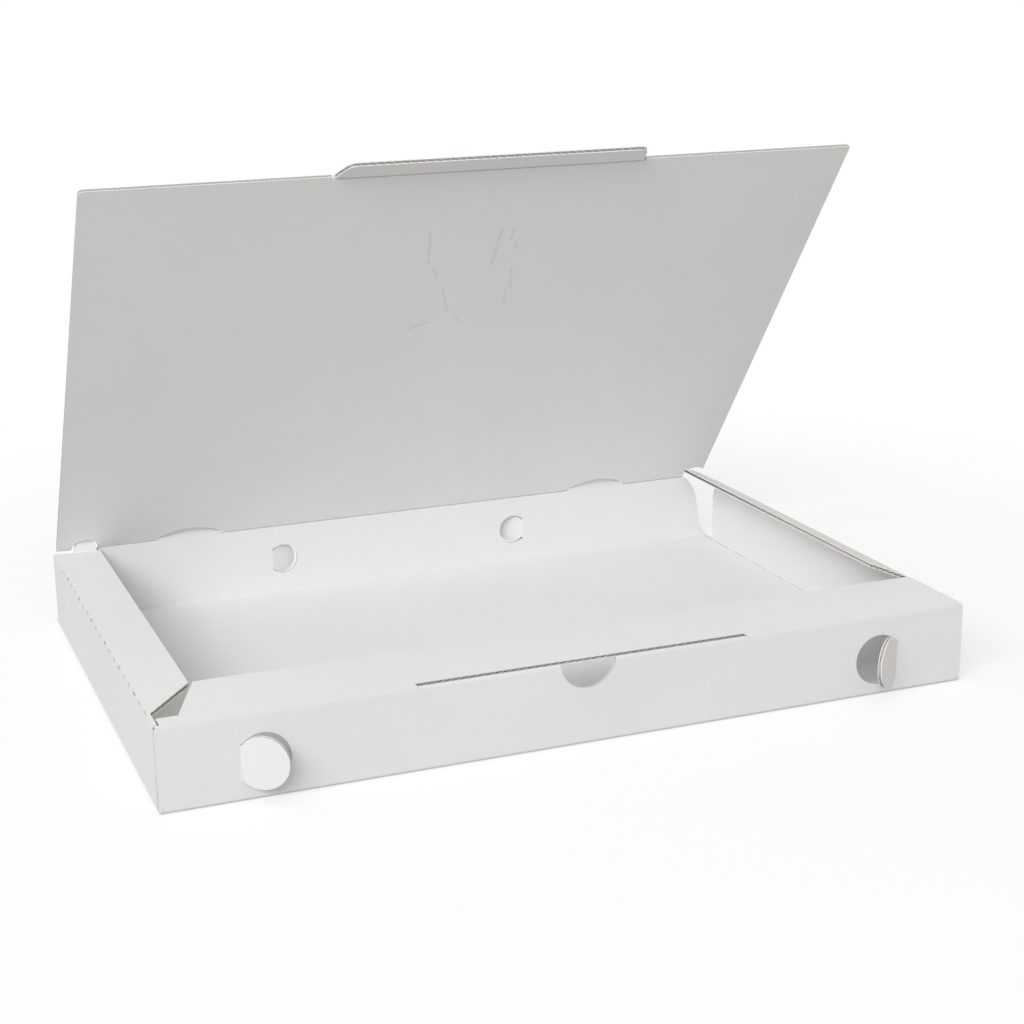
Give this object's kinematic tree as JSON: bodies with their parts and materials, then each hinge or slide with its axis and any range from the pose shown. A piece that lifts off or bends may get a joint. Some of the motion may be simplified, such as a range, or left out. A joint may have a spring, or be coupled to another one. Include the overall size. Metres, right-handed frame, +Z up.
{
  "type": "pizza box",
  "caption": "Shallow rectangular corrugated food box with a hinged lid, tuck flap and front slot, ledges along the walls, thumb notch and swing-out steam vents.",
  "frame": {"origin": "on the table under the middle of the tray's floor", "axes": "+X to the right along the front wall, +Y to the back where the lid is hinged, +Z up"},
  "size_m": [0.6, 0.4292, 0.3898],
  "materials": {
    "white_board": "white lined corrugated board, matte"
  },
  "bodies": {
    "tray": {"tray": "white_board"},
    "lid": {"lid": "white_board"},
    "tuck_flap": {"tuck_flap": "white_board"},
    "right_ledge": {"right_ledge": "white_board"},
    "front_left_vent": {"front_left_vent": "white_board"},
    "front_right_vent": {"front_right_vent": "white_board"},
    "rear_left_vent": {"rear_left_vent": "white_board"},
    "rear_right_vent": {"rear_right_vent": "white_board"}
  },
  "joints": [
    {"name": "lid_hinge", "type": "hinge", "parent": "tray", "child": "lid", "pos_m": [0, 0.1985, 0.0625], "axis": [-1, 0, 0], "range_deg": [-53.5, 126.5]},
    {"name": "tuck_fold", "type": "hinge", "parent": "lid", "child": "tuck_flap", "pos_m": [0, -0.03568, 0.37898], "axis": [1, 0, 0], "range_deg": [-28, 65]},
    {"name": "right_ledge_fold", "type": "hinge", "parent": "tray", "child": "right_ledge", "pos_m": [0.2985, 0, 0.0585], "axis": [0, 1, 0], "range_deg": [-24, 57]},
    {"name": "front_left_vent_fold", "type": "hinge", "parent": "tray", "child": "front_left_vent", "pos_m": [-0.24456, -0.1985, 0.027], "axis": [0, 0, -1], "range_deg": [-29, 61]},
    {"name": "front_right_vent_fold", "type": "hinge", "parent": "tray", "child": "front_right_vent", "pos_m": [0.24456, -0.1985, 0.027], "axis": [0, 0, 1], "range_deg": [-38, 52]},
    {"name": "rear_left_vent_fold", "type": "hinge", "parent": "tray", "child": "rear_left_vent", "pos_m": [-0.1156, 0.1985, 0.0315], "axis": [0, 0, 1], "range_deg": [-18, 72]},
    {"name": "rear_right_vent_fold", "type": "hinge", "parent": "tray", "child": "rear_right_vent", "pos_m": [0.1156, 0.1985, 0.0315], "axis": [0, 0, -1], "range_deg": [-26, 64]}
  ],
  "couplings": [
    {"joint": "right_ledge_fold", "follows": "lid_hinge", "ratio": 0.4485}
  ]
}
